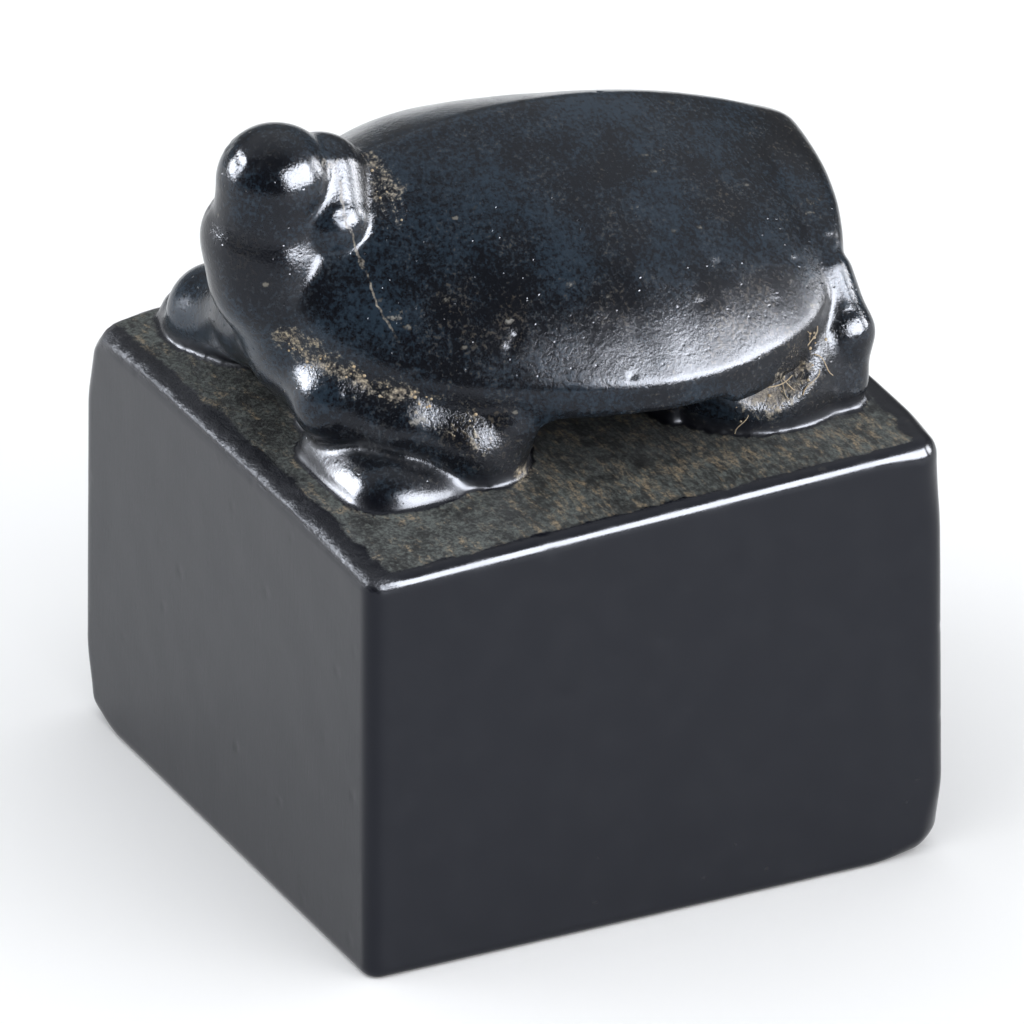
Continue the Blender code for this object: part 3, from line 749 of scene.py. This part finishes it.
blank = bpy.data.meshes.new("seal grid")
maker = bpy.data.objects.new("seal maker", blank)
bpy.context.collection.objects.link(maker)
black_stone = stone_skin()
carving = maker.modifiers.new("Carving", "NODES")
carving.node_group = stone_tree(black_stone)
grid_input = next(item for item in carving.node_group.interface.items_tree if item.name == "Grid")
carving[grid_input.identifier] = GRID * 1.0
carved = bpy.data.meshes.new_from_object(maker.evaluated_get(bpy.context.evaluated_depsgraph_get()))
bpy.data.objects.remove(maker)
carved.name = "seal stone"
seal_stone = bpy.data.objects.new("seal_stone", carved)
bpy.context.collection.objects.link(seal_stone)
carved.shade_smooth()
thinner = seal_stone.modifiers.new("Fewer faces", "DECIMATE")
thinner.ratio = min(1.0, MOST_TRIANGLES / sum(len(face.vertices) - 2 for face in carved.polygons))
thinned = bpy.data.meshes.new_from_object(seal_stone.evaluated_get(bpy.context.evaluated_depsgraph_get()))
seal_stone.modifiers.remove(thinner)
seal_stone.data = thinned
thinned.shade_smooth()
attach(seal_stone, "root")
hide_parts("turtle_seal")

# Crumbs and root fibres: what the burial left caught in the carving, grains of buff earth in the deep
# creases and a few dry fibres in the hollow of the haunch. They only rest on the stone.
CRUMB_SIZE = 0.055 * MM
CRUMBS_PER_AREA = 9.0 / MM ** 2
FIBRE_LENGTH = 1.1 * MM
FIBRE_RADIUS = 0.022 * MM
FIBRES_PER_AREA = 5.0 / MM ** 2
FIBRES_FROM = 3.5 * MM
EARTH = (0.34, 0.27, 0.17, 1.0)
STRAW = (0.42, 0.29, 0.14, 1.0)


def scattered(tree, ground_geometry, density, seed, instance, smallest, largest):
    """Puts instances on a surface's own points, turned at random about its normal."""
    points = node(tree, "GeometryNodeDistributePointsOnFaces", distribute_method="RANDOM")
    tree.links.new(ground_geometry, points.inputs["Mesh"])
    feed(tree, points.inputs["Density"], density)
    points.inputs["Seed"].default_value = seed
    spin = node(tree, "FunctionNodeRandomValue", data_type="FLOAT_VECTOR")
    spin.inputs["Min"].default_value = (-0.3, -0.3, -math.pi)
    spin.inputs["Max"].default_value = (0.3, 0.3, math.pi)
    spin.inputs["Seed"].default_value = seed + 1
    turn = node(tree, "FunctionNodeEulerToRotation")
    tree.links.new(spin.outputs["Value"], turn.inputs[0])
    turned = node(tree, "FunctionNodeRotateRotation", rotation_space="LOCAL")
    tree.links.new(points.outputs["Rotation"], turned.inputs[0])
    tree.links.new(turn.outputs[0], turned.inputs[1])
    size = node(tree, "FunctionNodeRandomValue", data_type="FLOAT")
    low, high = [socket for socket in size.inputs if socket.enabled and socket.name in {"Min", "Max"}]
    low.default_value, high.default_value = smallest, largest
    size.inputs["Seed"].default_value = seed + 2
    placed = node(tree, "GeometryNodeInstanceOnPoints")
    tree.links.new(points.outputs["Points"], placed.inputs["Points"])
    tree.links.new(instance, placed.inputs["Instance"])
    tree.links.new(turned.outputs[0], placed.inputs["Rotation"])
    tree.links.new(next(socket for socket in size.outputs if socket.enabled), placed.inputs["Scale"])
    return placed.outputs["Instances"]


def earth_tree(material):
    tree = bpy.data.node_groups.new("caught earth", "GeometryNodeTree")
    tree.interface.new_socket(name="Geometry", in_out="INPUT", socket_type="NodeSocketGeometry")
    tree.interface.new_socket(name="Geometry", in_out="OUTPUT", socket_type="NodeSocketGeometry")
    for name, value in (("Crumb density", CRUMBS_PER_AREA), ("Fibre density", FIBRES_PER_AREA)):
        socket = tree.interface.new_socket(name=name, in_out="INPUT", socket_type="NodeSocketFloat")
        socket.default_value = value
    entry = node(tree, "NodeGroupInput")
    clinging = node(tree, "GeometryNodeInputNamedAttribute", data_type="FLOAT")
    clinging.inputs["Name"].default_value = "dirt"
    position = node(tree, "GeometryNodeInputPosition").outputs[0]
    split = node(tree, "ShaderNodeSeparateXYZ")
    tree.links.new(position, split.inputs[0])
    clumps = step(noise(tree, position, 0.7 * MM, 3.0), 0.48, 0.62)
    share = step(Field(tree, clinging.outputs["Attribute"]), 0.55, 0.95) * clumps
    crumb = node(tree, "GeometryNodeMeshIcoSphere")
    crumb.inputs["Radius"].default_value = CRUMB_SIZE
    crumb.inputs["Subdivisions"].default_value = 1
    density = share * Field(tree, entry.outputs["Crumb density"])
    crumbs = scattered(tree, entry.outputs["Geometry"], density, 3, crumb.outputs["Mesh"], 0.4, 1.3)
    arc = node(tree, "GeometryNodeCurvePrimitiveBezierSegment")
    arc.inputs["Resolution"].default_value = 7
    for name, place in (("Start", (-0.5, 0.0, 0.02)), ("Start Handle", (-0.15, 0.22, 0.20)),
                        ("End Handle", (0.2, -0.20, 0.16)), ("End", (0.5, 0.05, 0.01))):
        arc.inputs[name].default_value = [FIBRE_LENGTH * value for value in place]
    section = node(tree, "GeometryNodeCurvePrimitiveCircle")
    section.inputs["Resolution"].default_value = 4
    section.inputs["Radius"].default_value = FIBRE_RADIUS
    strand = node(tree, "GeometryNodeCurveToMesh")
    tree.links.new(arc.outputs["Curve"], strand.inputs["Curve"])
    tree.links.new(section.outputs["Curve"], strand.inputs["Profile Curve"])
    strand.inputs["Fill Caps"].default_value = True
    rear = step(Field(tree, split.outputs["Y"]), FIBRES_FROM, FIBRES_FROM + MM)
    density = share * rear * Field(tree, entry.outputs["Fibre density"])
    strands = scattered(tree, entry.outputs["Geometry"], density, 11, strand.outputs["Mesh"], 0.4, 1.2)
    both = node(tree, "GeometryNodeJoinGeometry")
    tree.links.new(crumbs, both.inputs[0])
    tree.links.new(strands, both.inputs[0])
    real = node(tree, "GeometryNodeRealizeInstances")
    tree.links.new(both.outputs[0], real.inputs[0])
    paint = node(tree, "GeometryNodeSetMaterial")
    paint.inputs["Material"].default_value = material
    tree.links.new(real.outputs[0], paint.inputs["Geometry"])
    leave = node(tree, "NodeGroupOutput")
    tree.links.new(paint.outputs[0], leave.inputs[0])
    return tree


earth = bpy.data.materials.new("buff earth")
earth.use_nodes = True
earth_nodes = earth.node_tree
earth_point = node(earth_nodes, "ShaderNodeTexCoord").outputs["Object"]
tone = step(noise(earth_nodes, earth_point, 0.25 * MM, 3.0), 0.35, 0.65)
earth_mix = node(earth_nodes, "ShaderNodeMix", data_type="RGBA")
feed(earth_nodes, earth_mix.inputs["Factor"], tone)
earth_mix.inputs[6].default_value = STRAW
earth_mix.inputs[7].default_value = EARTH
earth_shader = earth_nodes.nodes["Principled BSDF"]
earth_nodes.links.new(earth_mix.outputs[2], earth_shader.inputs["Base Color"])
earth_shader.inputs["Roughness"].default_value = 0.8
catcher = bpy.data.objects.new("stone copy", thinned.copy())
bpy.context.collection.objects.link(catcher)
catching = catcher.modifiers.new("Caught earth", "NODES")
catching.node_group = earth_tree(earth)
for item in catching.node_group.interface.items_tree:
    if item.in_out == "INPUT" and item.name == "Crumb density":
        catching[item.identifier] = CRUMBS_PER_AREA
caught = bpy.data.meshes.new_from_object(catcher.evaluated_get(bpy.context.evaluated_depsgraph_get()))
bpy.data.objects.remove(catcher)
caught.name = "caught earth"
caught_earth = bpy.data.objects.new("caught_earth", caught)
bpy.context.collection.objects.link(caught_earth)
caught.shade_smooth()
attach(caught_earth, "root")

# Floor: a plain pale sheet that the seal stands on.
FLOOR_SIZE = 4.0
floor_mesh = bpy.data.meshes.new("floor sheet")
half = FLOOR_SIZE / 2
floor_mesh.from_pydata([(-half, -half, 0), (half, -half, 0), (half, half, 0), (-half, half, 0)], [], [(0, 1, 2, 3)])
floor_sheet = bpy.data.objects.new("floor_sheet", floor_mesh)
bpy.context.collection.objects.link(floor_sheet)
paper = bpy.data.materials.new("white paper")
paper.use_nodes = True
paper.node_tree.nodes["Principled BSDF"].inputs["Base Color"].default_value = (0.93, 0.93, 0.935, 1.0)
paper.node_tree.nodes["Principled BSDF"].inputs["Roughness"].default_value = 0.9
floor_mesh.materials.append(paper)

# Room: even white light for the floor and the dull places. The polish mirrors a white ceiling, dim walls
# and a dark side behind the camera.
CAMERA_EYE = (0.48307, -0.23782, 0.27774)
CAMERA_AIM = (0.00097, -0.00044, 0.010856)
room = bpy.data.worlds.new("studio room")
room.use_nodes = True
bpy.context.scene.world = room
sky = room.node_tree
glow = sky.nodes["Background"]
outward = node(sky, "ShaderNodeTexCoord").outputs["Generated"]
seen_from = (Vector(CAMERA_EYE) - Vector(CAMERA_AIM)).normalized()
facing_camera = node(sky, "ShaderNodeVectorMath", operation="DOT_PRODUCT")
sky.links.new(outward, facing_camera.inputs[0])
facing_camera.inputs[1].default_value = seen_from
dark_side = step(Field(sky, facing_camera.outputs["Value"]), 0.30, 0.82)
upright = node(sky, "ShaderNodeSeparateXYZ")
sky.links.new(outward, upright.inputs[0])
ceiling = step(Field(sky, upright.outputs["Z"]), 0.35, 0.80)
mirrored = (ceiling * 0.80 + 0.25) * (dark_side * -0.88 + 1.0)
in_polish = Field(sky, node(sky, "ShaderNodeLightPath").outputs["Is Glossy Ray"])
feed(sky, glow.inputs["Strength"], (mirrored - 1.0) * in_polish + 1.0)
glow.inputs["Color"].default_value = (0.96, 0.98, 1.0, 1.0)

# Lamps: three wide softboxes that only draw the highlights on the polish, and a soft lamp, high on the
# left, that lights the seal and the floor.
def softbox(name, azimuth, elevation, width, height, radiance, colour):
    lamp = bpy.data.lights.new(name, "AREA")
    lamp.shape = "RECTANGLE"
    lamp.size, lamp.size_y = width, height
    lamp.energy = radiance * math.pi * width * height
    lamp.color = colour
    stand = bpy.data.objects.new(name, lamp)
    a, e = math.radians(azimuth), math.radians(elevation)
    toward = Vector((math.sin(a) * math.cos(e), -math.cos(a) * math.cos(e), math.sin(e)))
    stand.location = Vector((0.0, 0.0, 0.015)) + toward * 0.6
    stand.rotation_euler = toward.to_track_quat("Z", "Y").to_euler()
    bpy.context.collection.objects.link(stand)
    return stand


right_softbox = softbox("softbox right", 118.0, 26.0, 0.64, 0.38, 50.0, (1.0, 0.99, 0.98))
far_softbox = softbox("softbox far", 167.0, 16.0, 0.17, 0.25, 34.0, (1.0, 0.99, 0.98))
left_softbox = softbox("softbox left", -37.0, 18.0, 0.27, 0.28, 52.0, (0.97, 0.98, 1.0))
for lamp in (right_softbox, far_softbox, left_softbox):
    lamp.visible_diffuse = False
high_lamp = softbox("high lamp", 20.0, 62.0, 0.45, 0.45, 0.8, (1.0, 1.0, 1.0))
high_lamp.visible_glossy = False

# Camera: a long lens, left and in front of the turtle, looking a little down.
lens = bpy.data.cameras.new("camera")
lens.sensor_width = 36.0
lens.lens = 610.06
lens.clip_start = 0.01
lens.clip_end = 20.0
camera = bpy.data.objects.new("camera", lens)
camera.location = CAMERA_EYE
camera.rotation_euler = (Vector(CAMERA_EYE) - Vector(CAMERA_AIM)).to_track_quat("Z", "Y").to_euler()
bpy.context.collection.objects.link(camera)
bpy.context.scene.camera = camera
bpy.context.scene.view_settings.view_transform = "Standard"
